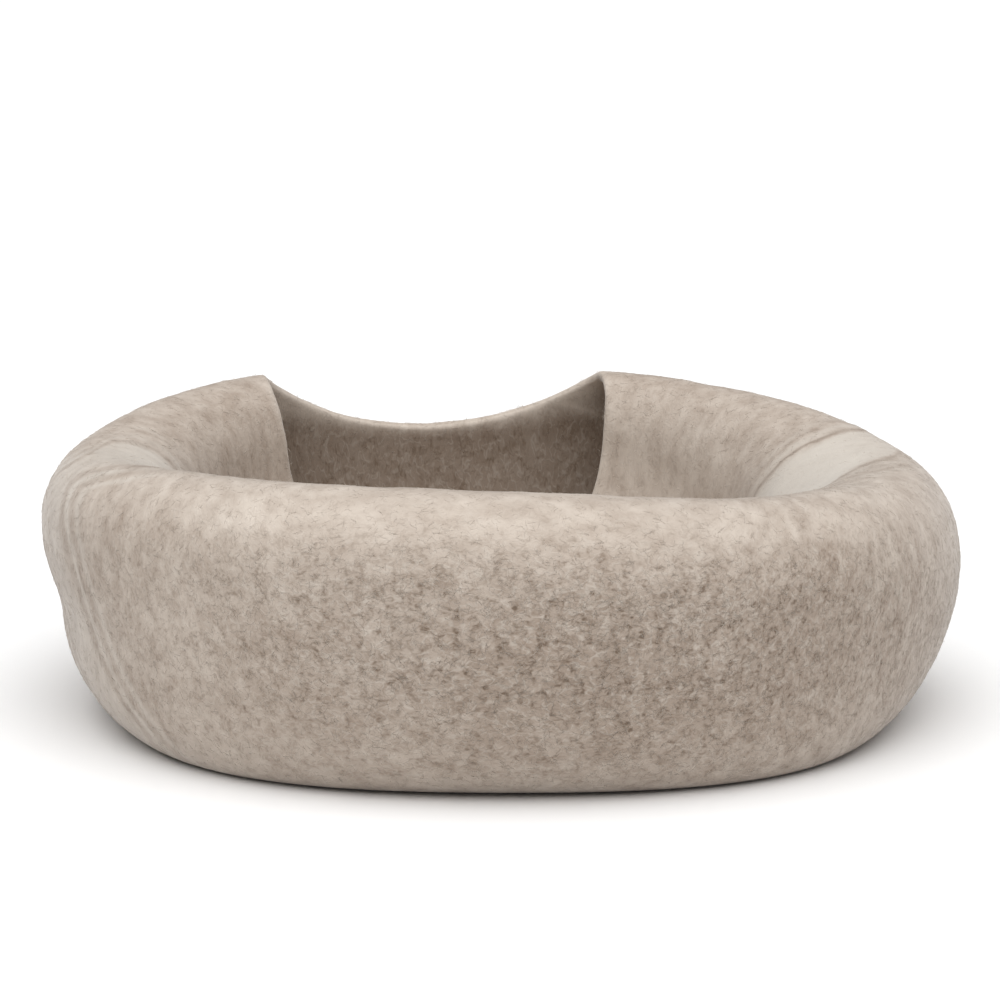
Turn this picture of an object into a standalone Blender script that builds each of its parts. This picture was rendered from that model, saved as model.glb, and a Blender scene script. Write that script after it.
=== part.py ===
"""Felt cat cave, pushed in to make a round bed.

The cave is one seamless shell of thick wool felt, a flattened ball with an arched mouth.
Its top is pushed down into its bottom, so the outer wall rises from the floor, rolls over a
soft rim and comes down again inside as a bowl, whose seat lies on the base.  The mouth is at
the back: its sill is a low lip in the outer wall, and its arch a notch down into the bowl.

Metres, +Z up, -Y towards the front, origin on the floor under the middle of the base.
"""

import math

import bmesh
import bpy
from mathutils import Matrix

FELT = 0.0065  # thickness of the felt
SEAT_GAP = 0.002  # air between the base and the seat
CUT_ROUND = 0.0025  # rounding of the mouth's cut edge

# A row for each section through the wall, with its azimuth in degrees and its sizes to the
# middle of the felt.  The foot is where the wall leaves the floor, the belly its widest point,
# the rim the top of the roll, the throat where the bowl's wall hangs upright, and the seat the
# flat at the bottom of the bowl.  The heel says how square the wall turns in to the foot: 2 is
# an ellipse.
SECTION_COLUMNS = (
    "azimuth", "foot", "heel", "belly", "belly_z", "rim", "rim_z", "throat", "throat_z", "seat",
)
SECTIONS = (
    # right
    (0, 0.1640, 2.05, 0.2235, 0.0720, 0.1920, 0.1195, 0.1290, 0.066, 0.074),
    (40, 0.1640, 2.15, 0.2220, 0.0800, 0.1915, 0.1305, 0.1525, 0.081, 0.085),
    # right-hand corner of the mouth
    (72, 0.1640, 2.20, 0.2215, 0.0910, 0.2005, 0.1370, 0.1750, 0.105, 0.097),
    # left-hand corner of the mouth
    (128, 0.1655, 2.10, 0.2235, 0.0965, 0.2050, 0.1400, 0.1750, 0.106, 0.097),
    # left
    (180, 0.1695, 2.15, 0.2255, 0.0955, 0.2005, 0.1270, 0.1600, 0.090, 0.097),
    (225, 0.1925, 2.10, 0.2225, 0.1005, 0.1930, 0.1335, 0.1610, 0.098, 0.097),
    # front
    (270, 0.1765, 2.15, 0.2220, 0.0950, 0.1885, 0.1350, 0.1600, 0.101, 0.097),
    (315, 0.1940, 2.10, 0.2215, 0.0855, 0.1905, 0.1240, 0.1455, 0.081, 0.087),
)

# Slack places where the outer wall gives inwards: where each is, how far it spreads, and how
# deep it is.  Azimuth and turn are in degrees.
DENT_COLUMNS = ("azimuth", "turn", "height", "rise", "depth")
DENTS = (
    (192, 20, 0.055, 0.020, 0.0032),
    (330, 26, 0.046, 0.024, 0.0014),
    (262, 18, 0.103, 0.018, 0.0014),
)

# The sheet is a grid of cells: columns run round the bed, numbered from the middle of the
# mouth, and rows run along a section from the middle of the base to the middle of the seat.
COLUMNS = 72
BASE_ROWS, LOWER_ROWS, UPPER_ROWS, ROLL_ROWS, BOWL_ROWS, SEAT_ROWS = 2, 7, 6, 5, 8, 2
BELLY_ROW = BASE_ROWS + LOWER_ROWS
RIM_ROW = BELLY_ROW + UPPER_ROWS
THROAT_ROW = RIM_ROW + ROLL_ROWS
SEAT_EDGE_ROW = THROAT_ROW + BOWL_ROWS
LAST_ROW = SEAT_EDGE_ROW + SEAT_ROWS

# The mouth is an ellipse about the rim on this grid.  Its lip reaches down the outer wall, where
# it eases out of both corners, and its arch down the bowl, where the flare keeps its sides straight.
MOUTH_MIDDLE, MOUTH_HALF_WIDTH = 101.0, 28.0  # degrees
LIP_ROWS, ARCH_ROWS = 5.0, 10.5
LIP_EASE = 1.5
ARCH_FLARE = 0.45
# The cells left out for it, each way from its middle, and the cells round them that give way.
GAP_COLUMNS, GAP_LIP_ROWS, GAP_ARCH_ROWS, GAP_MARGIN = 6, 3, 9, 4


def between(start, end, share):
    """The value at a share of the way from start to end."""
    return start + (end - start) * share


def clamp(value, low, high):
    """The value, held between low and high."""
    return min(max(value, low), high)


def section_at(azimuth):
    """The section's sizes at any azimuth, on a smooth closed curve through the table's rows."""
    rows = [dict(zip(SECTION_COLUMNS, row)) for row in SECTIONS]
    azimuth %= 360
    first = max(i for i, row in enumerate(rows) if row["azimuth"] <= azimuth)
    before, start, end, after = (rows[(first + step) % len(rows)] for step in (-1, 0, 1, 2))
    span = (end["azimuth"] - start["azimuth"]) % 360
    span_before = (start["azimuth"] - before["azimuth"]) % 360
    span_after = (after["azimuth"] - end["azimuth"]) % 360
    share = (azimuth - start["azimuth"]) / span
    sizes = {}
    for name in SECTION_COLUMNS[1:]:
        slope_start = (end[name] - before[name]) * span / (span_before + span)
        slope_end = (after[name] - start[name]) * span / (span + span_after)
        sizes[name] = (
            (2 * share**3 - 3 * share**2 + 1) * start[name]
            + (share**3 - 2 * share**2 + share) * slope_start
            + (3 * share**2 - 2 * share**3) * end[name]
            + (share**3 - share**2) * slope_end
        )
    return sizes


def quarter(level_end, upright_end, share, heel=2.0):
    """Radius and height on a quarter ellipse, level at one end and upright at the other."""
    angle = share * math.pi / 2
    across = math.sin(angle) ** (2 / heel)
    up = 1 - max(math.cos(angle), 0.0) ** (2 / heel)
    return between(level_end[0], upright_end[0], across), between(level_end[1], upright_end[1], up)


def section_point(section, row):
    """Radius and height of the middle of the felt at a row, which need not be whole."""
    base_z = FELT / 2
    seat_z = base_z + FELT + SEAT_GAP
    foot = (section["foot"], base_z)
    belly = (section["belly"], section["belly_z"])
    rim = (section["rim"], section["rim_z"])
    throat = (section["throat"], section["throat_z"])
    seat = (section["seat"], seat_z)
    if row <= BASE_ROWS:
        return foot[0] * row / BASE_ROWS, base_z
    if row <= BELLY_ROW:
        return quarter(foot, belly, (row - BASE_ROWS) / LOWER_ROWS, section["heel"])
    if row <= RIM_ROW:
        return quarter(rim, belly, (RIM_ROW - row) / UPPER_ROWS)
    if row <= THROAT_ROW:
        return quarter(rim, throat, (row - RIM_ROW) / ROLL_ROWS)
    if row <= SEAT_EDGE_ROW:
        return quarter(seat, throat, (SEAT_EDGE_ROW - row) / BOWL_ROWS)
    return seat[0] * (LAST_ROW - row) / SEAT_ROWS, seat_z


def dent_depth(azimuth, height):
    """How far the outer wall gives inwards at a place."""
    total = 0.0
    for row in DENTS:
        dent = dict(zip(DENT_COLUMNS, row))
        turned = (azimuth - dent["azimuth"] + 180) % 360 - 180
        away = (turned / dent["turn"]) ** 2 + ((height - dent["height"]) / dent["rise"]) ** 2
        total += dent["depth"] * math.exp(-away)
    return total


def felt_point(azimuth, row):
    """The middle of the felt in space."""
    radius, height = section_point(section_at(azimuth), row)
    if BASE_ROWS < row < RIM_ROW:
        radius -= dent_depth(azimuth, height)
    angle = math.radians(azimuth)
    return radius * math.cos(angle), radius * math.sin(angle), height


def mouth_edge(column, row):
    """Azimuth and row, from the rim, of the mouth's edge for a place on the edge of the gap."""
    across = column / GAP_COLUMNS
    down = row / (GAP_ARCH_ROWS if row > 0 else GAP_LIP_ROWS)
    if abs(across) >= abs(down):
        angle = down * math.pi / 4
        across, down = math.copysign(math.cos(angle), across), math.sin(angle)
    else:
        angle = across * math.pi / 4
        across, down = math.sin(angle), math.copysign(math.cos(angle), down)
    azimuth = MOUTH_MIDDLE + MOUTH_HALF_WIDTH * across * (1 + ARCH_FLARE * max(down, 0.0))
    return azimuth, ARCH_ROWS * down if down > 0 else -LIP_ROWS * abs(down) ** LIP_EASE


def grid_place(column, row):
    """Azimuth and row of a grid point: even, but drawn to the mouth's edge round the gap."""
    step = 360 / COLUMNS
    azimuth = MOUTH_MIDDLE + column * step
    near_column = clamp(column, -GAP_COLUMNS, GAP_COLUMNS)
    near_row = clamp(row - RIM_ROW, -GAP_LIP_ROWS, GAP_ARCH_ROWS)
    away = max(abs(column - near_column), abs(row - RIM_ROW - near_row))
    pull = max(1 - away / GAP_MARGIN, 0.0)
    edge_azimuth, edge_row = mouth_edge(near_column, near_row)
    azimuth += (edge_azimuth - MOUTH_MIDDLE - near_column * step) * pull
    return azimuth, row + (edge_row - near_row) * pull


def in_gap(face):
    """Whether a cell of the flat grid is one of those left out for the mouth."""
    middle = face.calc_center_median()
    row = middle.y - RIM_ROW
    return abs(middle.x) < GAP_COLUMNS and -GAP_LIP_ROWS < row < GAP_ARCH_ROWS


def shell_sheet():
    """The shell as a sheet with no thickness: a flat grid, cut for the mouth and wrapped round."""
    sheet = bmesh.new()
    flat = Matrix.Translation((0, LAST_ROW / 2, 0)) @ Matrix.Diagonal((COLUMNS / 2, LAST_ROW / 2, 1, 1))
    bmesh.ops.create_grid(sheet, x_segments=COLUMNS, y_segments=LAST_ROW, size=1, matrix=flat)
    gap = [face for face in sheet.faces if in_gap(face)]
    bmesh.ops.delete(sheet, geom=gap, context="FACES")
    for vert in sheet.verts:
        vert.co = felt_point(*grid_place(round(vert.co.x), round(vert.co.y)))
    bmesh.ops.remove_doubles(sheet, verts=sheet.verts, dist=0.0001)
    return sheet


def felt_material():
    """Undyed grey-beige wool."""
    material = bpy.data.materials.new("wool_felt")
    material.use_nodes = True
    shader = material.node_tree.nodes["Principled BSDF"]
    shader.inputs["Base Color"].default_value = (0.42, 0.36, 0.31, 1)
    shader.inputs["Roughness"].default_value = 0.95
    shader.inputs["Metallic"].default_value = 0.0
    return material


def build_shell():
    """The felt shell: the sheet, given its thickness, with the mouth's cut edge rounded."""
    mesh = bpy.data.meshes.new("felt_shell")
    sheet = shell_sheet()
    sheet.to_mesh(mesh)
    sheet.free()
    shell = bpy.data.objects.new("felt_shell", mesh)
    bpy.context.scene.collection.objects.link(shell)
    mesh.materials.append(felt_material())
    mesh.shade_smooth()
    thicken = shell.modifiers.new("felt", "SOLIDIFY")
    thicken.thickness = FELT
    thicken.offset = 0
    thicken.use_even_offset = True
    soften = shell.modifiers.new("cut edge", "BEVEL")
    soften.width = CUT_ROUND
    soften.segments = 2
    soften.limit_method = "ANGLE"
    soften.angle_limit = math.radians(60)
    return shell


def main():
    """Clear the scene and build the bed."""
    for item in list(bpy.data.objects):
        bpy.data.objects.remove(item)
    build_shell()


main()
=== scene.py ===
"""Felt cat cave, pushed in to make a round bed.

One seamless shell of thick marled wool felt, with a marbled off-white belt felted into it,
stands in for the frame's plain solid.  Loose fibres lie on its face.  It stands on a pale floor
in soft studio light.

Metres, +Z up, -Y towards the front, origin on the floor under the middle of the base.
"""

import logging
import math
from dataclasses import astuple, dataclass, field
from enum import Enum

import bmesh
import bpy
import numpy as np
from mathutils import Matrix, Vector, noise


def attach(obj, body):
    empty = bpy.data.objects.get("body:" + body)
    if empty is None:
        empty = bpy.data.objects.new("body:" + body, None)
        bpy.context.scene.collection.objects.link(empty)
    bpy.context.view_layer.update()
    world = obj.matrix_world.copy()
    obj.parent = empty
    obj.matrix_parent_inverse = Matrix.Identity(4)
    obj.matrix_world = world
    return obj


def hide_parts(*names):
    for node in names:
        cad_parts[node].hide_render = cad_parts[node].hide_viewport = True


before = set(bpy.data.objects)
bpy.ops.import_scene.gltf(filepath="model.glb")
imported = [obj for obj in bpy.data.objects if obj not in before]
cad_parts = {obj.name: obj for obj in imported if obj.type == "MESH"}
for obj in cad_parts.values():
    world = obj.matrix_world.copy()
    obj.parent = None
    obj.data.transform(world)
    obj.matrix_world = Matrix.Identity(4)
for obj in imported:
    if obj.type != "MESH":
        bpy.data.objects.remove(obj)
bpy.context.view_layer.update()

SHELL_NODE = "felt_shell"
MILLIMETRE = 0.001
NOISE_MIDDLE = 0.5

Pair = tuple[float, float]
Colour = tuple[float, float, float, float]
Array = np.ndarray
Socket = bpy.types.NodeSocket

logging.basicConfig(level=logging.INFO, format="%(message)s")
log = logging.getLogger("felt_cat_cave")


# ---- The felt's form: the same named sizes as the solid it stands in for ----


def turned_from(azimuth: Array | float, middle: Array | float) -> Array | float:
    """How far an azimuth is turned from another, from -180 to 180 degrees."""
    return (azimuth - middle + 180) % 360 - 180


@dataclass(frozen=True)
class WallSection:
    """One section through the wall, to the middle of the felt; azimuth in degrees."""

    azimuth: float
    foot: float
    heel: float
    belly: float
    belly_z: float
    rim: float
    rim_z: float
    throat: float
    throat_z: float
    seat: float

    def sizes(self) -> Array:
        """All the sizes but the azimuth, in order."""
        return np.array(astuple(self)[1:])


@dataclass(frozen=True)
class Dent:
    """A slack place where the outer wall gives inwards."""

    azimuth: float
    turn: float
    height: float
    rise: float
    depth: float

    def depth_at(self, azimuth: float, height: float) -> float:
        """How far the wall gives inwards here.

        Args:
            azimuth: degrees round the bed.
            height: height above the floor.

        Returns:
            The depth, in metres.
        """
        turned = turned_from(azimuth, self.azimuth)
        away = (turned / self.turn) ** 2 + ((height - self.height) / self.rise) ** 2
        return self.depth * math.exp(-away)


@dataclass(frozen=True)
class FeltChart:
    """Where the middle of the felt lies, by azimuth and row.

    Rows run along a section: over the base, up the outer wall by the belly to the rim, over the
    roll to the throat, and down the bowl to the middle of the seat.
    """

    felt: float = 0.0065
    seat_gap: float = 0.002
    base_row: float = 2
    belly_row: float = 9
    rim_row: float = 15
    throat_row: float = 20
    seat_row: float = 28
    last_row: int = 30
    sections: tuple[WallSection, ...] = (
        WallSection(0, 0.1640, 2.05, 0.2235, 0.0720, 0.1920, 0.1195, 0.1290, 0.066, 0.074),
        WallSection(40, 0.1640, 2.15, 0.2220, 0.0800, 0.1915, 0.1305, 0.1525, 0.081, 0.085),
        WallSection(72, 0.1640, 2.20, 0.2215, 0.0910, 0.2005, 0.1370, 0.1750, 0.105, 0.097),
        WallSection(128, 0.1655, 2.10, 0.2235, 0.0965, 0.2050, 0.1400, 0.1750, 0.106, 0.097),
        WallSection(180, 0.1695, 2.15, 0.2255, 0.0955, 0.2005, 0.1270, 0.1600, 0.090, 0.097),
        WallSection(225, 0.1925, 2.10, 0.2225, 0.1005, 0.1930, 0.1335, 0.1610, 0.098, 0.097),
        WallSection(270, 0.1765, 2.15, 0.2220, 0.0950, 0.1885, 0.1350, 0.1600, 0.101, 0.097),
        WallSection(315, 0.1940, 2.10, 0.2215, 0.0855, 0.1905, 0.1240, 0.1455, 0.081, 0.087),
    )
    dents: tuple[Dent, ...] = (
        Dent(191, 20, 0.059, 0.017, 0.0058),
        Dent(330, 26, 0.046, 0.024, 0.0014),
        Dent(262, 18, 0.103, 0.018, 0.0014),
    )

    def section_at(self, azimuth: float) -> WallSection:
        """The section at any azimuth, on a smooth closed curve through the table's rows.

        Args:
            azimuth: degrees round the bed.

        Returns:
            The section, in metres.
        """
        azimuth %= 360
        count = len(self.sections)
        first = max(i for i, section in enumerate(self.sections) if section.azimuth <= azimuth)
        before, start, end, after = (self.sections[(first + step) % count] for step in (-1, 0, 1, 2))
        span = (end.azimuth - start.azimuth) % 360
        span_before = (start.azimuth - before.azimuth) % 360
        span_after = (after.azimuth - end.azimuth) % 360
        share = (azimuth - start.azimuth) / span
        slope_start = (end.sizes() - before.sizes()) * span / (span_before + span)
        slope_end = (after.sizes() - start.sizes()) * span / (span + span_after)
        sizes = (
            (2 * share**3 - 3 * share**2 + 1) * start.sizes()
            + (share**3 - 2 * share**2 + share) * slope_start
            + (3 * share**2 - 2 * share**3) * end.sizes()
            + (share**3 - share**2) * slope_end
        )
        return WallSection(azimuth, *sizes)

    @staticmethod
    def quarter(
        level_end: Pair, upright_end: Pair, share: float, heel: float = 2.0
    ) -> Pair:
        """Radius and height on a quarter ellipse, level at one end and upright at the other.

        Args:
            level_end: radius and height of the level end.
            upright_end: radius and height of the upright end.
            share: how far along, from 0 at the level end to 1.
            heel: how square the quarter turns; 2 is an ellipse.

        Returns:
            Radius and height.
        """
        angle = share * math.pi / 2
        across = math.sin(angle) ** (2 / heel)
        up = 1 - max(math.cos(angle), 0.0) ** (2 / heel)
        return (
            level_end[0] + (upright_end[0] - level_end[0]) * across,
            level_end[1] + (upright_end[1] - level_end[1]) * up,
        )

    def section_point(self, section: WallSection, row: float) -> Pair:
        """Radius and height of the middle of the felt at a row.

        Args:
            section: the section to walk along.
            row: the row, which need not be whole.

        Returns:
            Radius and height.
        """
        base_z = self.felt / 2
        seat_z = base_z + self.felt + self.seat_gap
        foot = (section.foot, base_z)
        belly = (section.belly, section.belly_z)
        rim = (section.rim, section.rim_z)
        throat = (section.throat, section.throat_z)
        seat = (section.seat, seat_z)
        if row <= self.base_row:
            return foot[0] * row / self.base_row, base_z
        if row <= self.belly_row:
            share = (row - self.base_row) / (self.belly_row - self.base_row)
            return self.quarter(foot, belly, share, section.heel)
        if row <= self.rim_row:
            return self.quarter(rim, belly, (self.rim_row - row) / (self.rim_row - self.belly_row))
        if row <= self.throat_row:
            return self.quarter(rim, throat, (row - self.rim_row) / (self.throat_row - self.rim_row))
        if row <= self.seat_row:
            return self.quarter(seat, throat, (self.seat_row - row) / (self.seat_row - self.throat_row))
        return seat[0] * (self.last_row - row) / (self.last_row - self.seat_row), seat_z

    def point(self, azimuth: float, row: float) -> Vector:
        """The middle of the felt in space.

        Args:
            azimuth: degrees round the bed.
            row: the row along the section.

        Returns:
            The point, in metres.
        """
        radius, height = self.section_point(self.section_at(azimuth), row)
        if self.base_row < row < self.rim_row:
            radius -= sum(dent.depth_at(azimuth, height) for dent in self.dents)
        angle = math.radians(azimuth)
        return Vector((radius * math.cos(angle), radius * math.sin(angle), height))


@dataclass(frozen=True)
class Mouth:
    """The cave's mouth: a lip low in the outer wall, and an arch down the bowl.

    The grid of the sheet leaves out a rectangle for it, and the cells round the rectangle are
    drawn to the mouth's edge.  Columns count from the mouth's middle, rows from the rim.
    """

    middle: float = 102.0
    half_width: float = 27.0
    lip_rows: float = 5.0
    arch_rows: float = 10.5
    lip_ease: float = 1.27
    arch_flare: float = 0.58
    gap_columns: int = 6
    gap_lip_rows: int = 3
    gap_arch_rows: int = 9
    margin: int = 4
    columns: int = 72

    def edge(self, column: float, row: float) -> Pair:
        """The mouth's edge for a place on the edge of the rectangle left out.

        Args:
            column: column of the place, from the mouth's middle.
            row: row of the place, from the rim.

        Returns:
            Azimuth in degrees, and row from the rim.
        """
        across = column / self.gap_columns
        down = row / (self.gap_arch_rows if row > 0 else self.gap_lip_rows)
        if abs(across) >= abs(down):
            angle = down * math.pi / 4
            across, down = math.copysign(math.cos(angle), across), math.sin(angle)
        else:
            angle = across * math.pi / 4
            across, down = math.sin(angle), math.copysign(math.cos(angle), down)
        azimuth = self.middle + self.half_width * across * (1 + self.arch_flare * max(down, 0.0))
        return azimuth, self.arch_rows * down if down > 0 else -self.lip_rows * abs(down) ** self.lip_ease

    def place(self, column: float, row: float) -> tuple[float, float, float]:
        """Where a grid point lies on the felt, and how far it is from the mouth.

        Args:
            column: column of the point, from the mouth's middle.
            row: row of the point, from the rim.

        Returns:
            Azimuth in degrees, row from the rim, and cells away from the rectangle left out.
        """
        step = 360 / self.columns
        near_column = min(max(column, -self.gap_columns), self.gap_columns)
        near_row = min(max(row, -self.gap_lip_rows), self.gap_arch_rows)
        away = max(abs(column - near_column), abs(row - near_row))
        pull = max(1 - away / self.margin, 0.0)
        edge_azimuth, edge_row = self.edge(near_column, near_row)
        azimuth = self.middle + column * step
        azimuth += (edge_azimuth - self.middle - near_column * step) * pull
        return azimuth, row + (edge_row - near_row) * pull, away

    def leaves_out(self, column: float, row: float) -> bool:
        """Whether the middle of a cell is inside the rectangle left out."""
        return abs(column) < self.gap_columns and -self.gap_lip_rows < row < self.gap_arch_rows


@dataclass(frozen=True)
class Belt:
    """One end of the marbled belt, as it runs over the rim and down both sides of the wall.

    At each row it has four azimuths: a stray line, two veins, and a stray line nearer the front.
    """

    rows: tuple[float, ...]
    back_stray: tuple[float, ...]
    back_vein: tuple[float, ...]
    front_vein: tuple[float, ...]
    front_stray: tuple[float, ...]
    outside: float = 4.0

    def away(self, azimuth: Array, row: Array) -> Array:
        """How far off the belt's middle each place is.

        Args:
            azimuth: degrees round the bed.
            row: rows along the section.

        Returns:
            0 on the middle line, 1 at the veins, 2 at the stray lines, up to the outside value.
        """
        lines = (self.back_stray, self.back_vein, self.front_vein, self.front_stray)
        lines = [np.interp(row, self.rows, line) for line in lines]
        middle = (lines[1] + lines[2]) / 2
        turn = np.sign(lines[2] - lines[1])
        off = turned_from(azimuth, middle) * turn
        back_stray, back_vein, front_vein, front_stray = ((line - middle) * turn for line in lines)
        back = 1 + (back_vein - off) / (back_vein - back_stray)
        front = 1 + (off - front_vein) / (front_stray - front_vein)
        away = np.where(off < back_vein, back, np.where(off > front_vein, front, abs(off) / front_vein))
        return np.minimum(away, self.outside)


@dataclass(frozen=True)
class FlatRun:
    """Where the belt runs straight over a flat: its middle line's two ends, and its widths."""

    right: Pair
    left: Pair
    half_width: float
    stray: float

    def away(self, points: Array) -> Array:
        """How far off the belt's middle each point is, counted as at the belt's ends.

        Args:
            points: the points, in metres.

        Returns:
            0 on the middle line, 1 at the veins and 2 at the stray lines.
        """
        share = (points[:, 0] - self.right[0]) / (self.left[0] - self.right[0])
        off = abs(points[:, 1] - self.right[1] - share * (self.left[1] - self.right[1]))
        past_vein = 1 + (off - self.half_width) / self.stray
        return np.where(off < self.half_width, off / self.half_width, past_vein)


SEAT_RUN = FlatRun((0.140, 0.0), (-0.155, -0.040), 0.050, 0.022)
BASE_RUN = FlatRun((0.152, 0.064), (-0.137, -0.092), 0.023, 0.020)
RIGHT_BELT = Belt(
    rows=(0, 5, 9, 12.6, 14.0, 14.8, 15.4, 15.9, 16.2, 16.5, 17.1, 17.9, 18.8, 24, 30),
    back_stray=(38, 38, 36, 30, 25, 25, 25, 24.5, 24, 24, 24.5, 26, 29.5, 32, 34),
    back_vein=(31, 32, 30, 25, 19, 18.5, 19, 18, 17.5, 18, 18.7, 19.8, 23, 25, 26),
    front_vein=(15, 17, 17, 14, 8, 1.5, 0, -5, -8, -18, -24, -24, -22, -16, -10),
    front_stray=(8, 10, 10, 4, -5, -10, -14, -17, -20, -28, -33, -33, -32, -28, -20),
)
LEFT_BELT = Belt(
    rows=(0, 4.7, 6, 7, 8, 9, 11, 12, 12.8, 13.65, 14.5, 15.4, 16.05, 17.4, 22, 30),
    back_stray=(199, 198, 194, 190, 186, 184, 182, 182, 183, 184, 182, 171, 168, 167, 170, 175),
    back_vein=(206, 205, 201, 197, 193, 191, 189, 190, 191, 191, 189.5, 179, 176, 175, 178, 182),
    front_vein=(222, 217, 213, 209.5, 207.5, 205, 201, 199, 199.5, 202, 205, 209, 212, 214, 214, 212),
    front_stray=(232, 222, 218, 214.5, 212.5, 210, 206.5, 206, 210, 214, 218, 222, 225, 227, 227, 222),
)


@dataclass(frozen=True)
class TonePatch:
    """A broad patch that makes the felt paler or browner: some patches are the wool's own tone, some painted
    light, and one painted shade; azimuth and turn in degrees.
    """

    azimuth: float
    turn: float
    row: float
    rows: float
    paler: float

    def share(self, azimuth: Array, row: Array) -> Array:
        """How much paler the patch makes each place; brown is below 0."""
        turned = turned_from(azimuth, self.azimuth)
        return self.paler * np.exp(-((turned / self.turn) ** 2) - ((row - self.row) / self.rows) ** 2)


MARLED_FRONT = TonePatch(283, 55, 8.2, 3.4, 0.60)
# Painted shade: browner inside the right-hand corner of the mouth, where the cave's own shadow falls.
PAINTED_SHADE_CORNER = TonePatch(78, 13, 12.0, 3.2, 0.45)
# Paler and browner patches of wool; the pale patches low on the front, on the right side and on the bowl's
# back and right are painted light.
TONE_AND_PAINTED_LIGHT_PATCHES = (
    TonePatch(265, 62, 13.0, 2.6, 0.46),
    TonePatch(232, 28, 6.5, 5.0, 0.12),
    TonePatch(290, 34, 7.2, 2.8, -0.26),
    TonePatch(322, 22, 9.0, 2.5, -0.10),
    TonePatch(262, 30, 5.5, 2.5, -0.10),
    # Painted light: paler low on the front, where light comes back off the floor.
    TonePatch(280, 70, 4.0, 1.8, 0.14),
    # Painted light: paler on the right side of the outer wall.
    TonePatch(0, 34, 9.0, 4.0, 0.17),
    TonePatch(202, 14, 9.5, 3.0, -0.22),
    TonePatch(338, 14, 15.0, 1.5, 0.25),
    TonePatch(150, 60, 13.0, 3.0, 0.15),
    # Painted light: paler on the bowl's inner wall at the back and the right.
    TonePatch(60, 50, 20.0, 5.0, 0.36),
    TonePatch(100, 60, 5.0, 4.0, -0.15),
)


# ---- Shader maths ----


class Value:
    """A number that changes over the surface: a socket whose sums add Math nodes."""

    def __init__(self, finish: "NodeBench", socket: Socket) -> None:
        """Wrap a socket of the finish's node tree."""
        self.finish = finish
        self.socket = socket

    def _maths(self, operation: str, *numbers: "float | Value", clamp: bool = False) -> "Value":
        """Work out a Math node on some numbers."""
        settings = {"operation": operation, "use_clamp": clamp}
        return self.finish.number("ShaderNodeMath", settings, dict(enumerate(numbers)))

    def __add__(self, other: "float | Value") -> "Value":
        """The sum."""
        return self._maths("ADD", self, other)

    def __sub__(self, other: "float | Value") -> "Value":
        """The difference."""
        return self._maths("SUBTRACT", self, other)

    def __rsub__(self, other: float) -> "Value":
        """The difference, the other way round."""
        return self._maths("SUBTRACT", other, self)

    def __mul__(self, other: "float | Value") -> "Value":
        """The product."""
        return self._maths("MULTIPLY", self, other)

    def __abs__(self) -> "Value":
        """The size without its sign."""
        return self._maths("ABSOLUTE", self)

    __radd__ = __add__
    __rmul__ = __mul__

    def held(self) -> "Value":
        """The value, held between 0 and 1."""
        return self._maths("ADD", self, 0.0, clamp=True)

    def rise(self, start: float, end: float) -> "Value":
        """A smooth step.

        Args:
            start: where the step is 0.
            end: where the step is 1, which may be below the start.

        Returns:
            A value from 0 to 1.
        """
        if start > end:
            return 1 - self.rise(end, start)
        ends = {"Value": self, "From Min": start, "From Max": end}
        return self.finish.number("ShaderNodeMapRange", {"interpolation_type": "SMOOTHSTEP"}, ends)

    def ridge(self, middle: float, width: float) -> "Value":
        """A soft line where the value passes a number.

        Args:
            middle: the number.
            width: how far off the line fades out.

        Returns:
            1 on the line and 0 off it.
        """
        return abs(self - middle).rise(width, 0.0)


@dataclass(frozen=True)
class Pattern:
    """A noise pattern: how far apart its blotches are, its finer layers and their strength, how far
    it is bent, and how far it is moved, so that two like patterns differ."""

    size: float
    detail: float = 1.0
    rough: float = 0.5
    bend: float = 0.0
    shift: float = 0.0


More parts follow.
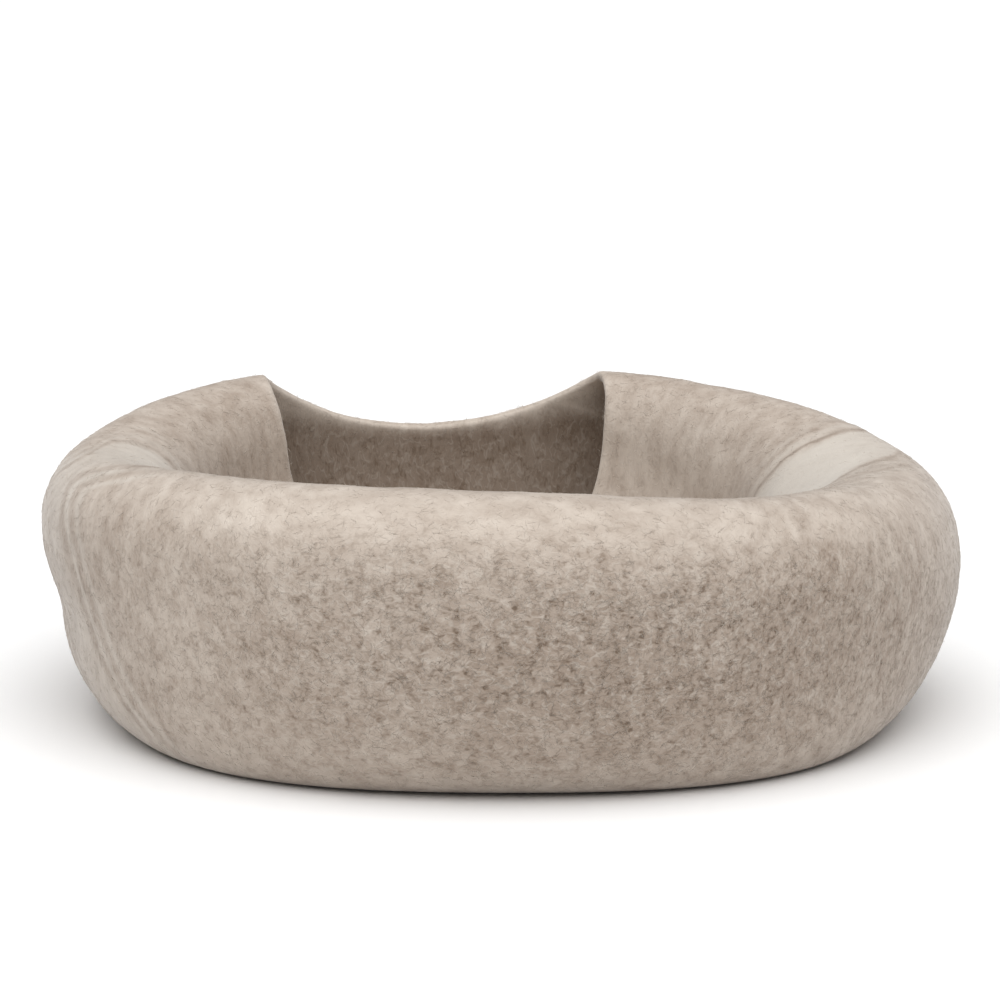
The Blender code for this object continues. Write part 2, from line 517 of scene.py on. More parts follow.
class NodeBench:
    """A material being made: its node tree and its Principled shader."""

    def __init__(self, name: str, **shader: float | tuple[float, ...]) -> None:
        """Start a material.

        Args:
            name: the material's name.
            shader: the shader's own sockets, with spaces as underscores.
        """
        self.material = bpy.data.materials.new(name)
        self.material.use_nodes = True
        self.tree = self.material.node_tree
        self.shader = self.tree.nodes["Principled BSDF"]
        for socket, setting in shader.items():
            self.shader.inputs[socket.replace("_", " ")].default_value = setting

    def node(self, kind: str, settings: dict, inputs: dict, output: str | int = 0) -> Socket:
        """Add a node.

        Args:
            kind: the node's type.
            settings: its own settings, such as a Math node's operation.
            inputs: what its sockets hold, by name or number: a value, or something to link.
            output: which output is wanted, by name or number.

        Returns:
            The output, as a colour or a vector to link.
        """
        node = self.tree.nodes.new(kind)
        for name, setting in settings.items():
            setattr(node, name, setting)
        for name, given in inputs.items():
            self._join(node.inputs[name], given)
        return node.outputs[output]

    def number(self, kind: str, settings: dict, inputs: dict, output: str | int = 0) -> Value:
        """Add a node whose output is a number to calculate with."""
        return Value(self, self.node(kind, settings, inputs, output))

    def _join(self, socket: Socket, given: object) -> None:
        """Link a socket, or set it.

        Args:
            socket: the socket.
            given: a value, or something to link.
        """
        if isinstance(given, Value):
            self.tree.links.new(given.socket, socket)
        elif isinstance(given, Socket):
            self.tree.links.new(given, socket)
        else:
            socket.default_value = given

    def pattern(self, place: Socket, pattern: Pattern, output: str) -> Socket:
        """Draw a noise pattern.

        Args:
            place: coordinates, in metres.
            pattern: its sizes.
            output: Fac for a number, or Color for three.

        Returns:
            The output.
        """
        if pattern.shift:
            place = self.vectors("ADD", place, (pattern.shift,) * 3)
        inputs = {
            "Vector": place, "Scale": 1 / pattern.size, "Detail": pattern.detail,
            "Roughness": pattern.rough, "Distortion": pattern.bend,
        }
        return self.node("ShaderNodeTexNoise", {}, inputs, output)

    def noise(self, place: Socket, pattern: Pattern) -> Value:
        """A noise pattern, as a number about 0.5."""
        return Value(self, self.pattern(place, pattern, "Fac"))

    def vectors(self, operation: str, *vectors: object) -> Socket:
        """A Vector Math node on some vectors."""
        return self.node("ShaderNodeVectorMath", {"operation": operation}, dict(enumerate(vectors)))

    def blend(self, share: "float | Value", first: object, second: object) -> Socket:
        """Blend two colours.

        Args:
            share: how much of the second.
            first: a colour or a socket.
            second: a colour or a socket.

        Returns:
            The blended colour.
        """
        return self.node("ShaderNodeMix", {"data_type": "RGBA"}, {0: share, 6: first, 7: second}, 2)

    def give(self, name: str, given: object) -> None:
        """Link one of the shader's own sockets."""
        self._join(self.shader.inputs[name], given)


def shade(red: float, green: float, blue: float) -> Colour:
    """A colour with full alpha."""
    return red, green, blue, 1.0


# ---- Finishes ----


class Mark(Enum):
    """The attributes that a finish reads off the mesh."""

    BELT = "belt"
    PALENESS = "paleness"
    MARL = "marl"
    BELT_STRENGTH = "belt_strength"
    UPRIGHT = "upright"
    INSIDE = "inside"
    FIBRE_TONE = "fibre_tone"

    def on(self, bench: NodeBench) -> Value:
        """The attribute, as a number to calculate with."""
        return bench.number("ShaderNodeAttribute", {"attribute_name": self.value}, {}, "Fac")


@dataclass(frozen=True)
class Streak:
    """A soft line that runs along the belt: how far off its middle, how wide, and how strong."""

    away: float
    width: float
    strength: float

    @staticmethod
    def on(streaks: "tuple[Streak, ...]", away: Value) -> Value:
        """Some streaks together, by how far off the belt's middle a place is."""
        return sum(away.ridge(streak.away, streak.width) * streak.strength for streak in streaks)


@dataclass(frozen=True)
class BeltFinish:
    """The off-white belt: its body, its strands, and the pale streaks and brown veins along it.

    Its strands are a pattern that is shrunk, so that they run long, and spread across the belt.
    """

    marble: Pattern = Pattern(0.030, 3.0, 0.55, bend=0.8)
    wander: float = 0.35
    strand: Pattern = Pattern(0.0040, 2.0)
    strand_shrink: float = 0.12
    strand_spread: float = 0.012
    body: Pair = (1.10, 0.80)
    body_strand: float = 0.4
    stray_strand: float = 1.4
    stray_outside: Pair = (2.8, 1.2)
    stray_inside: Pair = (0.9, 1.1)
    streaks: tuple[Streak, ...] = (Streak(1.47, 0.36, 0.50), Streak(2.15, 0.30, 0.25))
    veins: tuple[Streak, ...] = (Streak(1.13, 0.15, 1.0), Streak(1.88, 0.16, 0.25))
    wall: Pair = (0.46, 0.36)
    wall_streaks: tuple[Streak, ...] = (Streak(1.45, 0.24, 1.1), Streak(2.10, 0.24, 1.1))
    wall_veins: tuple[Streak, ...] = (Streak(1.12, 0.20, 1.2), Streak(1.78, 0.20, 1.2))

    def on(self, bench: NodeBench, place: Socket) -> tuple[Value, Value]:
        """The off-white belt and the thin veins along it.

        Args:
            bench: the material being made.
            place: coordinates, in metres.

        Returns:
            How white the wool is, and how strong a vein is, each from 0 to 1.
        """
        away = Mark.BELT.on(bench) + (bench.noise(place, self.marble) - NOISE_MIDDLE) * self.wander
        side = bench.node("ShaderNodeCombineXYZ", {}, {"X": away * self.strand_spread})
        along = bench.vectors("MULTIPLY_ADD", place, (self.strand_shrink,) * 3, side)
        strand = bench.noise(along, self.strand) - NOISE_MIDDLE
        stray = away.rise(*self.stray_outside) * away.rise(*self.stray_inside)
        strength = Mark.BELT_STRENGTH.on(bench)
        wall = strength.rise(*self.wall)
        white = away.rise(*self.body) * (1.0 + strand * self.body_strand) + strand * self.stray_strand * stray
        white = white + Streak.on(self.streaks, away) + Streak.on(self.wall_streaks, away) * wall
        vein = Streak.on(self.veins, away) + Streak.on(self.wall_veins, away) * wall
        return (white * strength).held(), (vein * strength * strength).held()


@dataclass(frozen=True)
class MarledWool:
    """Thick hand-felted wool: grey-beige, flecked with brown, with curly wisps and a pale belt.

    Sizes are in metres.  The two draws make flecks longer than they are wide: upright where the
    wall turns away, and level elsewhere.  The curl draws them to and fro, as wool curls.  Each
    strength says how far a pattern takes the wool from one tone to the next.
    """

    name: str = "marled_wool"
    wool: Colour = shade(0.345, 0.276, 0.224)
    pale_wool: Colour = shade(0.585, 0.515, 0.447)
    brown_wool: Colour = shade(0.160, 0.114, 0.080)
    white_wool: Colour = shade(0.585, 0.538, 0.478)
    belt: BeltFinish = BeltFinish()
    belt_calm: float = 0.8
    level_draw: Colour = shade(0.60, 0.80, 1.0)
    upright_draw: Colour = shade(1.0, 1.0, 0.45)
    curl: Pattern = Pattern(0.0045)
    curl_reach: float = 0.0050
    cloud: Pattern = Pattern(0.050)
    cloud_strength: float = 0.5
    blotch: Pattern = Pattern(0.0090, shift=5.0)
    blotch_strength: float = 1.3
    blotch_calm: float = 0.8
    mottle: Pattern = Pattern(0.0043, 3.5, 0.85)
    mottle_strength: float = 1.6
    fleck: Pair = (0.50, 0.30)
    fleck_strength: float = 0.35
    clump: Pattern = Pattern(0.0050, shift=7.0)
    dark_clump: Pair = (0.44, 0.60)
    pale_clump: Pair = (0.58, 0.42)
    dark_wisp: Pattern = Pattern(0.0024, shift=3.0)
    dark_wisp_width: float = 0.10
    dark_wisp_strength: float = 0.45
    pale_wisp: Pattern = Pattern(0.0038, shift=11.0)
    pale_wisp_width: float = 0.07
    pale_wisp_strength: float = 0.4
    speck: Pattern = Pattern(0.0020, shift=13.0)
    speck_rise: Pair = (0.50, 0.72)
    speck_strength: float = 0.6
    palest: float = 1.2
    vein_strength: float = 0.5
    # How strongly the painted shade inside the cave turns the wool brown.
    painted_shade_inside_strength: float = 0.65
    bump: float = 0.8 * MILLIMETRE
    bump_strength: float = 0.3
    pale_wisp_relief: float = 0.25
    dark_wisp_relief: float = 0.2

    def made(self) -> bpy.types.Material:
        """Make the material.

        Returns:
            The finished material.
        """
        bench = NodeBench(self.name, Roughness=0.95, Sheen_Weight=0.3, Sheen_Roughness=0.4)
        place = bench.node("ShaderNodeTexCoord", {}, {}, "Object")
        draw = bench.blend(Mark.UPRIGHT.on(bench), self.level_draw, self.upright_draw)
        drawn = bench.vectors("MULTIPLY", place, draw)
        drift = bench.pattern(drawn, self.curl, "Color")
        curled = bench.vectors("MULTIPLY_ADD", drift, (self.curl_reach,) * 3, drawn)
        cloud = bench.noise(place, self.cloud) - NOISE_MIDDLE
        blotch = bench.noise(drawn, self.blotch) - NOISE_MIDDLE
        mottle = bench.noise(curled, self.mottle)
        clump = bench.noise(place, self.clump)
        dark_wisp = bench.noise(curled, self.dark_wisp).ridge(NOISE_MIDDLE, self.dark_wisp_width)
        pale_wisp = bench.noise(curled, self.pale_wisp).ridge(NOISE_MIDDLE, self.pale_wisp_width)
        speck = bench.noise(drawn, self.speck).rise(*self.speck_rise)
        white, vein = self.belt.on(bench, place)
        marl = Mark.MARL.on(bench) * (1 - white * self.belt_calm)
        # Paleness, with the painted light of the tone patches and of the lip's inner face.
        pale = Mark.PALENESS.on(bench) + cloud * self.cloud_strength
        pale = pale + blotch * (self.blotch_strength - marl * self.blotch_calm)
        tone = pale + (mottle - NOISE_MIDDLE) * self.mottle_strength * marl
        colour = bench.blend(tone.held(), self.wool, self.pale_wool)
        colour = bench.blend(white, colour, self.white_wool)
        brown = dark_wisp * self.dark_wisp_strength + speck * self.speck_strength
        brown = mottle.rise(*self.fleck) * self.fleck_strength + brown * clump.rise(*self.dark_clump)
        brown = brown * marl * (self.palest - pale) + vein * self.vein_strength
        # Painted shade inside the cave and in its right-hand corner, as browner wool.
        brown = brown + Mark.INSIDE.on(bench) * self.painted_shade_inside_strength
        colour = bench.blend(brown.held(), colour, self.brown_wool)
        wisp = pale_wisp * clump.rise(*self.pale_clump) * marl * self.pale_wisp_strength
        bench.give("Base Color", bench.blend(wisp.held(), colour, self.white_wool))
        height = mottle + pale_wisp * self.pale_wisp_relief - dark_wisp * self.dark_wisp_relief
        bump = {"Strength": self.bump_strength, "Distance": self.bump, "Height": height}
        bench.give("Normal", bench.node("ShaderNodeBump", {}, bump))
        return bench.material


@dataclass(frozen=True)
class LooseWool:
    """Single wool hairs, each of one tone from brown to white."""

    name: str = "loose_wool"
    brown_wool: Colour = shade(0.200, 0.145, 0.100)
    white_wool: Colour = shade(0.700, 0.635, 0.560)

    def made(self) -> bpy.types.Material:
        """Make the material.

        Returns:
            The finished material.
        """
        bench = NodeBench(self.name, Roughness=0.8, Sheen_Weight=0.2, Sheen_Roughness=0.4)
        bench.give("Base Color", bench.blend(Mark.FIBRE_TONE.on(bench), self.brown_wool, self.white_wool))
        return bench.material


# ---- The felt shell ----


def read(items: bpy.types.bpy_prop_collection, name: str, *width: int, kind: type = np.float32) -> Array:
    """Read a number, or a row of numbers, of each of a mesh's items.

    Args:
        items: the items, such as its points.
        name: what to read, such as their places.
        width: how many numbers a row has, if it is a row.
        kind: the type of the numbers.

    Returns:
        The numbers or the rows, in the order of the items.
    """
    numbers = np.zeros((len(items), *width), kind)
    items.foreach_get(name, numbers.ravel())
    return numbers


@dataclass(frozen=True)
class Ramp:
    """A number that goes evenly from place to place, and stays level past both ends."""

    places: tuple[float, ...]
    numbers: tuple[float, ...]

    def at(self, place: Array) -> Array:
        """The number at each place."""
        return np.interp(place, self.places, self.numbers)


@dataclass(frozen=True)
class Felting:
    """How the wool changes over the sheet: by row, or by how many cells from the mouth's edge.

    The belt's strength changes by side, in metres, as well, and its body fades out at so many
    half-widths from its middle.  It runs straight over the seat and the base.  The wool runs
    upright where the wall turns from the front, in degrees, and in the bowl.  The inner side is
    painted paler near the mouth's edge, as painted light on the lip's inner face, and browner
    deeper in, as painted shade inside the cave.
    """

    paleness: float = 0.25
    # Painted light: the inner side paler near the mouth's edge, where light falls on the lip's inner face.
    painted_light_inner_edge: Ramp = Ramp((0.1, 1.0), (0.7, 0.0))
    pale_outer_edge: Ramp = Ramp((0.1, 0.6), (0.3, 0.0))
    marl: float = 0.30
    marl_on_wall: float = 0.08
    outer_wall: Ramp = Ramp((10.5, 13.5), (1.0, 0.0))
    marl_in_bowl: Ramp = Ramp((16, 20), (0, 0.08))
    belt_by_row: Ramp = Ramp((9.0, 13.6, 16.2, 30.0), (0.42, 0.50, 0.90, 0.80))
    belt_by_side: Ramp = Ramp((-0.10, 0.10), (0.75, 1.0))
    belt_body: Ramp = Ramp((0.9, 1.05), (1.0, 0.0))
    seat: Ramp = Ramp((21, 26), (0, 1))
    base: Ramp = Ramp((1, 3), (1, 0))
    front: float = 270.0
    turned_away: Ramp = Ramp((25, 65), (0, 1))
    bowl: Ramp = Ramp((15, 18), (0, 1))
    # Painted shade: the inner side browner deeper in from the mouth's edge, where the cave lies in shadow.
    painted_shade_deeper_in: Ramp = Ramp((0.3, 1.4), (0.0, 1.0))


@dataclass(frozen=True)
class Lumps:
    """Soft lumps in the face of the felt: their size, their height in millimetres, and a shift."""

    size: float
    height: float
    shift: tuple[float, float, float] = (0, 0, 0)

    def at(self, point: Vector) -> float:
        """How far the face stands out here."""
        return self.height * noise.noise(point / self.size + Vector(self.shift))


@dataclass(frozen=True)
class FaceMarks:
    """What is known of each point of the shell: where it is on the sheet, and how it is felted; its paleness
    holds painted light as well.
    """

    azimuth: Array
    row: Array
    from_mouth: Array
    inside: Array
    paleness: Array
    marl: Array
    belt: Array


@dataclass
class FeltShell:
    """The bed's one piece: a sheet wrapped round, given its thickness, and its cut edge rounded.

    The cut angle is in degrees.  The outer side has the outer share of the map.  The lumps come in
    over so much height above the seat.
    """

    name: str = "felt_cave_shell"
    chart: FeltChart = FeltChart()
    mouth: Mouth = Mouth()
    fineness: int = 2
    weld: float = 0.1 * MILLIMETRE
    cut_round: float = 0.0026
    cut_angle: float = 60.0
    outer_share: float = 0.62
    map_gap: float = 0.01
    felting: Felting = Felting()
    lumps: tuple[Lumps, ...] = (
        Lumps(0.060, 0.9), Lumps(0.022, 0.45, (7, 3, 5)), Lumps(0.009, 0.22, (1, 9, 4)),
    )
    lumps_rise: float = 0.012
    piece: bpy.types.Object | None = None
    marks: FaceMarks | None = None

    def build(self) -> bpy.types.Object:
        """Make the shell.

        Returns:
            The finished piece.
        """
        self.lay_flat()
        self.wrap_round()
        self.thicken()
        self.marks = self.mark(*self.part_the_sides())
        self.soften()
        return self.piece

    def lay_flat(self) -> None:
        """Add the flat grid and leave out the mouth's cells."""
        columns, rows = self.mouth.columns * self.fineness, self.chart.last_row * self.fineness
        bpy.ops.object.select_all(action="DESELECT")
        bpy.ops.mesh.primitive_grid_add(x_subdivisions=columns, y_subdivisions=rows, size=1, calc_uvs=True)
        self.piece = bpy.context.object
        self.piece.name = self.name
        self.piece.data.name = self.name
        mesh = self.piece.data
        mesh.uv_layers[0].name = "OFBake"
        cloth = bmesh.new()
        cloth.from_mesh(mesh)
        for vert in cloth.verts:
            vert.co.x = round(vert.co.x * columns) / self.fineness
            vert.co.y = round((vert.co.y + 0.5) * rows) / self.fineness
        left_out = []
        for face in cloth.faces:
            middle = face.calc_center_median()
            if self.mouth.leaves_out(middle.x, middle.y - self.chart.rim_row):
                left_out.append(face)
        bmesh.ops.delete(cloth, geom=left_out, context="FACES")
        uv = cloth.loops.layers.uv.active
        for face in cloth.faces:
            for loop in face.loops:
                loop[uv].uv = self.flat_place(loop.vert.co)
        cloth.to_mesh(mesh)
        cloth.free()

    def flat_place(self, point: Vector) -> Pair:
        """Column and row of a grid point, each from 0 to 1."""
        return point.x / self.mouth.columns + 0.5, point.y / self.chart.last_row

    def wrap_round(self) -> None:
        """Wrap the flat grid round the bed's form, and close its seam and its two middles."""
        for vert in self.piece.data.vertices:
            azimuth, row, _ = self.mouth.place(vert.co.x, vert.co.y - self.chart.rim_row)
            vert.co = self.chart.point(azimuth, row + self.chart.rim_row)
        bpy.ops.object.mode_set(mode="EDIT")
        bpy.ops.mesh.select_all(action="SELECT")
        bpy.ops.mesh.remove_doubles(threshold=self.weld)
        bpy.ops.object.mode_set(mode="OBJECT")
        self.piece.data.shade_smooth()

    def thicken(self) -> None:
        """Give the felt its thickness, round the cut edge and smooth the whole."""
        for _ in range(2):
            self.piece.data.materials.append(None)
        solid = self.piece.modifiers.new("felt", "SOLIDIFY")
        solid.thickness = self.chart.felt
        solid.offset = 0
        solid.use_even_offset = True
        solid.material_offset = 1
        soft = self.piece.modifiers.new("cut edge", "BEVEL")
        soft.width = self.cut_round
        soft.segments = 2
        soft.limit_method = "ANGLE"
        soft.angle_limit = math.radians(self.cut_angle)
        fine = self.piece.modifiers.new("smooth", "SUBSURF")
        fine.levels = fine.render_levels = 1
        for modifier in list(self.piece.modifiers):
            bpy.ops.object.modifier_apply(modifier=modifier.name)

    def part_the_sides(self) -> tuple[Array, Array]:
        """Keep the two faces of the felt apart in the map, the outer one with the larger share.

        Returns:
            Each point's place on the flat sheet, and 1 for a point of the inner side.
        """
        mesh = self.piece.data
        side = read(mesh.polygons, "material_index", kind=np.int32)
        corners = read(mesh.polygons, "loop_total", kind=np.int32)
        inner = np.repeat(side == 1, corners)
        vertex = read(mesh.loops, "vertex_index", kind=np.int32)
        uv = read(mesh.uv_layers["OFBake"].data, "uv", 2)
        flat = np.zeros((len(mesh.vertices), 2), np.float32)
        flat[vertex] = uv
        inside = np.zeros(len(mesh.vertices), np.float32)
        inside[vertex[inner]] = 1
        inner_share = 1 - self.map_gap - self.outer_share
        uv[:, 1] *= np.where(inner, inner_share, self.outer_share - self.map_gap)
        uv[inner, 1] += self.outer_share + self.map_gap / 2
        mesh.uv_layers["OFBake"].data.foreach_set("uv", uv.ravel())
        mesh.polygons.foreach_set("material_index", np.zeros_like(side))
        mesh.materials.clear()
        return flat, inside

    def mark(self, flat: Array, inside: Array) -> FaceMarks:
        """Store on the mesh what its finish reads.

        Args:
            flat: each point's place on the flat sheet.
            inside: 1 for a point of the inner side.

        Returns:
            What is known of each point.
        """
        felting = self.felting
        columns, rows, rim_row = self.mouth.columns, self.chart.last_row, self.chart.rim_row
        places = [self.mouth.place((u - 0.5) * columns, v * rows - rim_row) for u, v in flat.tolist()]
        azimuth, row, away = np.array(places).T
        row += rim_row
        points = read(self.piece.data.vertices, "co", 3)
        off_belt = self.off_belt(azimuth, row, points)
        strength = felting.belt_by_row.at(row) * (1 - inside) * felting.belt_by_side.at(points[:, 0])
        belt = strength * felting.belt_body.at(off_belt)
        # Painted light on the inner side near the mouth's edge; the outer side is paler along the cut edge.
        edge = np.where(inside > 0, felting.painted_light_inner_edge.at(away), felting.pale_outer_edge.at(away))
        paleness = felting.paleness + sum(patch.share(azimuth, row) for patch in TONE_AND_PAINTED_LIGHT_PATCHES) + edge
        marl_on_wall = felting.marl_on_wall + MARLED_FRONT.share(azimuth, row)
        marl = felting.marl + felting.outer_wall.at(row) * marl_on_wall + felting.marl_in_bowl.at(row)
        turned = abs(turned_from(azimuth, felting.front))
        # Painted shade inside the cave: deeper in from the mouth's edge, and more in the right-hand corner.
        brown = felting.painted_shade_deeper_in.at(away) * (1 + PAINTED_SHADE_CORNER.share(azimuth, row))
        self.write(Mark.BELT, off_belt)
        self.write(Mark.BELT_STRENGTH, strength)
        self.write(Mark.PALENESS, paleness)
        self.write(Mark.MARL, marl)
        self.write(Mark.UPRIGHT, np.maximum(felting.turned_away.at(turned), felting.bowl.at(row)))
        self.write(Mark.INSIDE, inside * brown)
        return FaceMarks(azimuth, row, away, inside, paleness, marl, belt)

    def off_belt(self, azimuth: Array, row: Array, points: Array) -> Array:
        """How far the points are off the belt, on the walls and on its flat runs between them.

        Args:
            azimuth: the points' azimuths.
            row: their rows.
            points: their places.

        Returns:
            Half-widths from the belt's middle.
        """
        off_belt = np.minimum(LEFT_BELT.away(azimuth, row), RIGHT_BELT.away(azimuth, row))
        for run, share in ((SEAT_RUN, self.felting.seat.at(row)), (BASE_RUN, self.felting.base.at(row))):
            off_belt += (np.minimum(run.away(points), RIGHT_BELT.outside) - off_belt) * share
        return off_belt

    def write(self, mark: Mark, values: Array) -> None:
        """Store a number at each point of the mesh."""
        layer = self.piece.data.attributes.new(mark.value, "FLOAT", "POINT")
        layer.data.foreach_set("value", values.astype(np.float32))

    def soften(self) -> None:
        """Push the face in and out a little, but for the base and what lies on it."""
        mesh = self.piece.data
        points = read(mesh.vertices, "co", 3)
        normals = read(mesh.vertex_normals, "vector", 3)
        seat_top = self.chart.felt * 2 + self.chart.seat_gap
        free = np.clip((points[:, 2] - seat_top) / self.lumps_rise, 0, 1)
        swell = np.array([self.swell_at(Vector(point)) for point in points.tolist()])
        points += normals * (swell * free)[:, None]
        mesh.vertices.foreach_set("co", points.ravel())
        mesh.update()

    def swell_at(self, point: Vector) -> float:
        """How far the face stands out here, from broad soft lumps and finer ones."""
        return sum(lumps.at(point) for lumps in self.lumps) * MILLIMETRE


# ---- The loose fibres ----


@dataclass(frozen=True)
class FibreLot:
    """One lot of loose fibres: how many, and the part of the shell they lie on.

    Azimuth and turn are in degrees.  A lot about the mouth lies on both sides of the felt, up to
    so many cells from the cut edge, and the others on the outer side alone.
    """

    name: str
    count: int
    rows: Pair = (2.5, 30.0)
    middle: float = 0.0
    half_turn: float = 180.0
    about_mouth: float = 0.0

    def covers(self, marks: FaceMarks, corners: Array) -> Array:
        """Which faces the lot lies on.

        Args:
            marks: what is known of each point of the shell.
            corners: the four points of each face.

        Returns:
            True for each of the lot's faces.
        """
        if self.about_mouth:
            return marks.from_mouth[corners].max(1) < self.about_mouth
        row = marks.row[corners].mean(1)
        turned = abs(turned_from(marks.azimuth[corners[:, 0]], self.middle))
        outer = marks.inside[corners].max(1) == 0
        return outer & (row > self.rows[0]) & (row < self.rows[1]) & (turned <= self.half_turn)


@dataclass
class LooseFibres:
    """Hairs that lie curled on the face of the felt, and a few that stand off it.

    Each is a closed spindle of twelve triangles: a tip, two rings of three points, and a tip.
    Lengths and radii are in metres, and heights off the face in millimetres.  Rings and curls are
    shares of a hair's length, and root and tip curls are shares of the curl beside them.
    """

    shell: FeltShell
    lot: FibreLot
    seed: int
    length: Pair = (0.0020, 0.0060)
    radius: Pair = (0.00004, 0.00009)
    rings: Pair = (0.33, 0.68)
    curl: float = 0.32
    ring_turns: tuple[float, ...] = (90, 210, 330)
    root_curl: float = 0.2
    tip_curl: float = 1.3
    root_height: float = -0.1
    ring_heights: Pair = (-0.02, 0.10)
    lying_heights: Pair = (-0.1, 0.15)
    standing_heights: Pair = (0.3, 1.3)
    standing: float = 0.05
    tone: float = 0.40
    tone_by_paleness: float = 0.45
    # Painted shade: hairs on the inner side of the felt are darker.
    fibre_painted_shade_inside: float = 0.25
    tone_spread: Pair = (0.3, 0.8)
    spread_by_marl: float = 0.32
    even_marl: float = 0.20
    faces: tuple[tuple[int, ...], ...] = (
        (0, 2, 1), (0, 3, 2), (0, 1, 3), (1, 2, 5, 4), (2, 3, 6, 5), (3, 1, 4, 6),
        (7, 4, 5), (7, 5, 6), (7, 6, 4),
    )
    map_places: tuple[Pair, ...] = (
        (0.1, 0.5), (0.4, 0.2), (0.4, 0.5), (0.4, 0.8), (0.6, 0.2), (0.6, 0.5), (0.6, 0.8), (0.9, 0.5),
    )

    def build(self) -> bpy.types.Object:
        """Make the lot as one mesh.

        Returns:
            The finished piece.
        """
        random = np.random.default_rng(self.seed)
        roots, normals, tones = self.rooted(random)
        points = self.curled(random, roots, normals)
        mesh = bpy.data.meshes.new(self.lot.name)
        starts = np.arange(self.lot.count)[:, None] * len(self.map_places)
        faces = [row for corners in self.faces for row in (starts + np.array(corners)).tolist()]
        mesh.from_pydata(points.reshape(-1, 3).tolist(), [], faces)
        self.map_out(mesh)
        layer = mesh.attributes.new(Mark.FIBRE_TONE.value, "FLOAT", "POINT")
        tones = np.repeat(tones, len(self.map_places))
        layer.data.foreach_set("value", tones.astype(np.float32))
        mesh.shade_smooth()
        piece = bpy.data.objects.new(self.lot.name, mesh)
        bpy.context.scene.collection.objects.link(piece)
        return piece

    def rooted(self, random: np.random.Generator) -> tuple[Array, Array, Array]:
        """Choose where the hairs lie on the lot's part of the shell: few where the felt is pale.

        Args:
            random: the lot's own random numbers.

        Returns:
            Places, normals and tones.
        """
        mesh, marks, count = self.shell.piece.data, self.shell.marks, self.lot.count
        corners = np.array([face.vertices[:] for face in mesh.polygons if len(face.vertices) == 4])
        points = read(mesh.vertices, "co", 3)
        normals = read(mesh.vertex_normals, "vector", 3)
        corners = corners[self.lot.covers(marks, corners)]
        one, two, three, four = (points[corners[:, i]] for i in range(4))
        area = np.linalg.norm(np.cross(three - one, four - two), axis=1)
        hairy = area * (marks.marl**2 * (1 - marks.belt))[corners[:, 0]]
        chosen = corners[random.choice(len(corners), count, p=hairy / hairy.sum())]
        u, v = random.random((2, count))
        weights = np.stack([(1 - u) * (1 - v), u * (1 - v), u * v, (1 - u) * v], 1)
        place = (points[chosen] * weights[..., None]).sum(1)
        normal = (normals[chosen] * weights[..., None]).sum(1)
        first = chosen[:, 0]
        # Hairs follow the felt's paleness, painted light included, and the belt.
        tone = self.tone + self.tone_by_paleness * (marks.paleness + marks.belt)[first]
        tone -= self.fibre_painted_shade_inside * marks.inside[first]
        spread = random.normal(*self.tone_spread, count) * self.spread_by_marl
        tone += spread * (marks.marl[first] - self.even_marl)
        return place, normal / np.linalg.norm(normal, axis=1)[:, None], np.clip(tone, 0, 1)

    def curled(self, random: np.random.Generator, roots: Array, normals: Array) -> Array:
        """Shape the hairs.

        Args:
            random: the lot's own random numbers.
            roots: where each starts.
            normals: which way the face looks there.

        Returns:
            Eight points for each hair.
        """
        count = self.lot.count
        loose = random.normal(size=(count, 3))
        along = loose - normals * (loose * normals).sum(1)[:, None]
        along /= np.linalg.norm(along, axis=1)[:, None]
        aside = np.cross(normals, along)
        length = random.uniform(*self.length, count)
        curl = random.uniform(-self.curl, self.curl, (count, 2)) * length[:, None]
        lift = random.uniform(*self.ring_heights, (count, 2)) * MILLIMETRE
        stands = random.random(count) < self.standing
        high = random.uniform(*self.standing_heights, count)
        low = random.uniform(*self.lying_heights, count)
        tip = np.where(stands, high, low) * MILLIMETRE
        radius = random.uniform(*self.radius, count)

        def at(share: float, side: Array, height: Array) -> Array:
            """A point on the middle line of each hair."""
            level = roots + along * (share * length)[:, None] + aside * side[:, None]
            return level + normals * height[:, None]

        root_height = np.full(count, self.root_height * MILLIMETRE)
        ring_heights = (lift[:, 0], np.maximum(lift[:, 1], tip / 2))
        points = [at(0.0, curl[:, 0] * self.root_curl, root_height)]
        for ring, side, height in zip(self.rings, curl.T, ring_heights):
            middle = at(ring, side, height)
            for turn in self.ring_turns:
                angle = math.radians(turn)
                out = normals * math.sin(angle) + aside * math.cos(angle)
                points.append(middle + out * radius[:, None])
        points.append(at(1.0, curl[:, 1] * self.tip_curl, tip))
        return np.stack(points, 1)

    def map_out(self, mesh: bpy.types.Mesh) -> None:
        """Give each hair a cell of its own in the map.

        Args:
            mesh: the lot's mesh.
        """
        cells = math.ceil(math.sqrt(self.lot.count))
        layer = mesh.uv_layers.new(name="OFBake")
        vertex = read(mesh.loops, "vertex_index", kind=np.int32)
        hair, point = np.divmod(vertex, len(self.map_places))
        uv = (np.stack([hair % cells, hair // cells], 1) + np.array(self.map_places)[point]) / cells
        layer.data.foreach_set("uv", uv.astype(np.float32).ravel())


FIBRE_LOTS = (
    FibreLot("loose_fibres_front", 15000, (3.5, 12.0), 270, 90),
    FibreLot("loose_fibres_back", 13000, (3.5, 12.0), 90, 90),
    FibreLot("loose_fibres_rim", 4000, (12.0, 18.0)),
    FibreLot("loose_fibres_bowl", 4000, (18.0, 30.0)),
    FibreLot("loose_fibres_mouth", 1500, about_mouth=2.5),
)


# ---- The studio ----


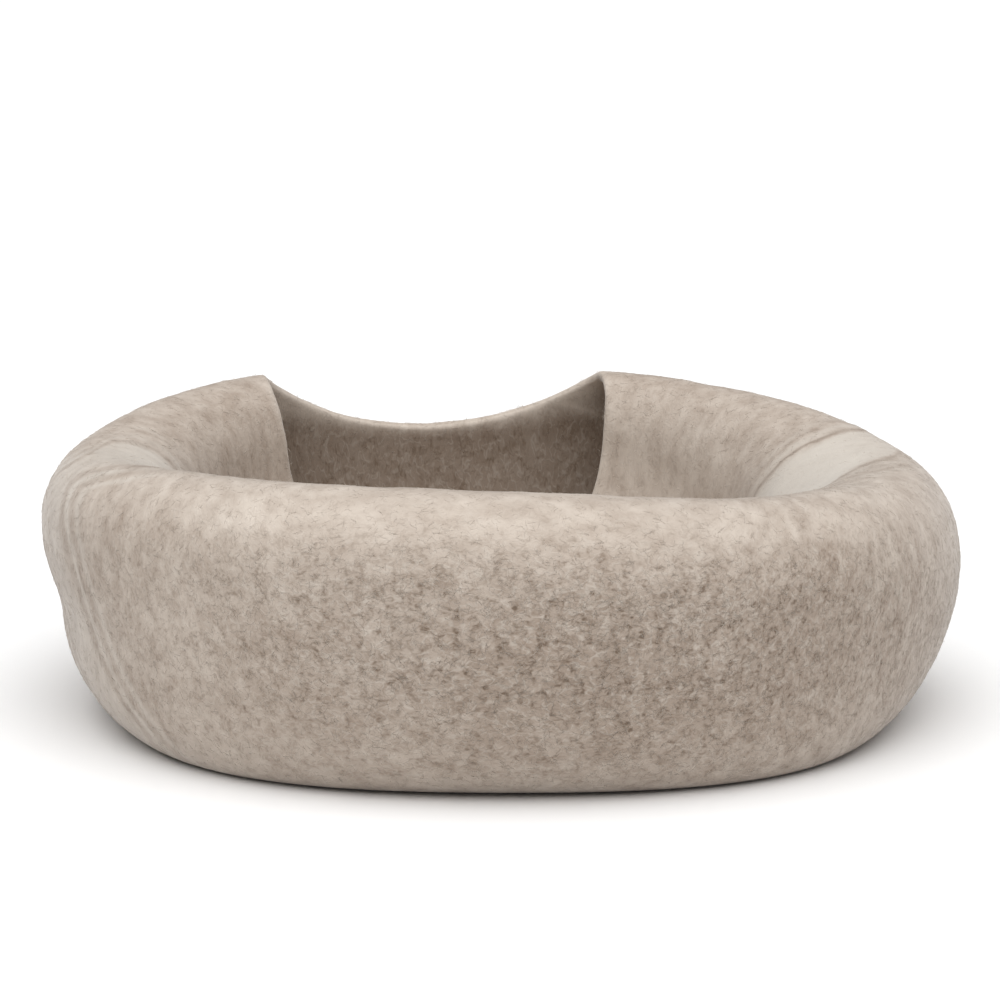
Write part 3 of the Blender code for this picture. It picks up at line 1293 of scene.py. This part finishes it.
@dataclass
class Studio:
    """A pale floor, soft light and the camera."""

    target: Vector = field(default_factory=lambda: Vector((-0.0018, 0.0, 0.1012)))
    elevation: float = 10.0
    distance: float = 1.564
    lens: float = 113.0
    sensor: float = 36.0
    floor_size: float = 80.0
    surround: float = 0.25
    light: float = 3.45
    light_spread: float = 80.0
    light_from: tuple[float, float, float] = (0.0, -0.38, 1.0)

    def build(self) -> None:
        """Set up the floor, the light and the camera."""
        self.lay_floor()
        self.hang_light()
        self.place_camera()

    def lay_floor(self) -> None:
        """Lay the pale floor under the bed."""
        bpy.ops.object.select_all(action="DESELECT")
        bpy.ops.mesh.primitive_plane_add(size=self.floor_size, location=(0, 0, 0))
        floor = bpy.context.object
        floor.name = "studio_floor"
        bench = NodeBench("studio_white", Base_Color=shade(0.9, 0.9, 0.9), Roughness=0.9)
        floor.data.materials.append(bench.material)

    def hang_light(self) -> None:
        """A faint white surround, and one broad soft light from above and the front."""
        world = bpy.data.worlds.new("studio")
        world.use_nodes = True
        surround = world.node_tree.nodes["Background"]
        surround.inputs["Color"].default_value = shade(1.0, 1.0, 1.0)
        surround.inputs["Strength"].default_value = self.surround
        bpy.context.scene.world = world
        light = bpy.data.lights.new("soft light", "SUN")
        light.energy = self.light
        light.angle = math.radians(self.light_spread)
        lamp = bpy.data.objects.new("soft light", light)
        lamp.rotation_euler = Vector(self.light_from).to_track_quat("Z", "Y").to_euler()
        bpy.context.scene.collection.objects.link(lamp)

    def place_camera(self) -> None:
        """Place the camera a little above the rim, in front."""
        camera = bpy.data.cameras.new("camera")
        camera.lens = self.lens
        camera.sensor_width = self.sensor
        stand = bpy.data.objects.new("camera", camera)
        tilt = math.radians(self.elevation)
        back = Vector((0, -math.cos(tilt), math.sin(tilt)))
        stand.location = self.target + back * self.distance
        stand.rotation_euler = (-back).to_track_quat("-Z", "Y").to_euler()
        bpy.context.scene.collection.objects.link(stand)
        bpy.context.scene.camera = stand


# ---- Put together ----


def main() -> None:
    """Build the bed and the studio, in order."""
    bpy.context.scene.view_settings.view_transform = "Standard"
    shell = FeltShell()
    piece = shell.build()
    piece.data.materials.append(MarledWool().made())
    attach(piece, "root")
    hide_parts(SHELL_NODE)
    log.info("%s: %d faces", piece.name, len(piece.data.polygons))
    loose_wool = LooseWool().made()
    for seed, lot in enumerate(FIBRE_LOTS):
        fibres = LooseFibres(shell, lot, seed=seed).build()
        fibres.data.materials.append(loose_wool)
        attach(fibres, "root")
        log.info("%s: %d faces", fibres.name, len(fibres.data.polygons))
    Studio().build()
    log.info("studio: floor, light and camera")


if __name__ == "__main__":
    main()
